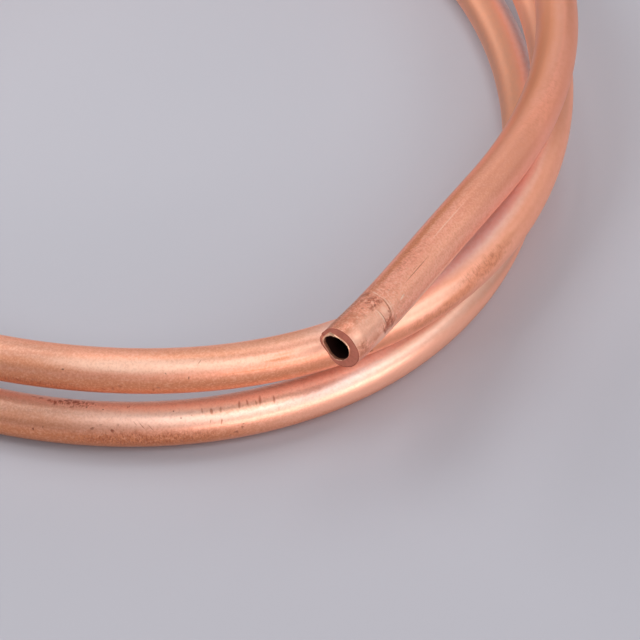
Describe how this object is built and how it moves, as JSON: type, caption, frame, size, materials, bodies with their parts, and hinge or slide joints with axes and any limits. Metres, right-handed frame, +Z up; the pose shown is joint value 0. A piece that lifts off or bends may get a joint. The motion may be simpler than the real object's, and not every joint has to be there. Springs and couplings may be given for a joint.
{
  "type": "copper tube coil",
  "caption": "Short length of soft copper tube wound into a loose round coil, with square-cut open ends and a lightly scuffed bare finish.",
  "frame": {"origin": "middle of the coil's outline, on the floor it lies on", "axes": "+Z up, along the coil's axis; the free cut end of the top turn lies towards +X and -Y, and its mouth faces -X and -Y and a little up"},
  "size_m": [0.133, 0.1338, 0.0232],
  "materials": {
    "bare_copper": "bare drawn copper, satin, lightly scuffed and stained"
  },
  "bodies": {
    "root": {"copper_tube": "bare_copper"}
  },
  "joints": []
}
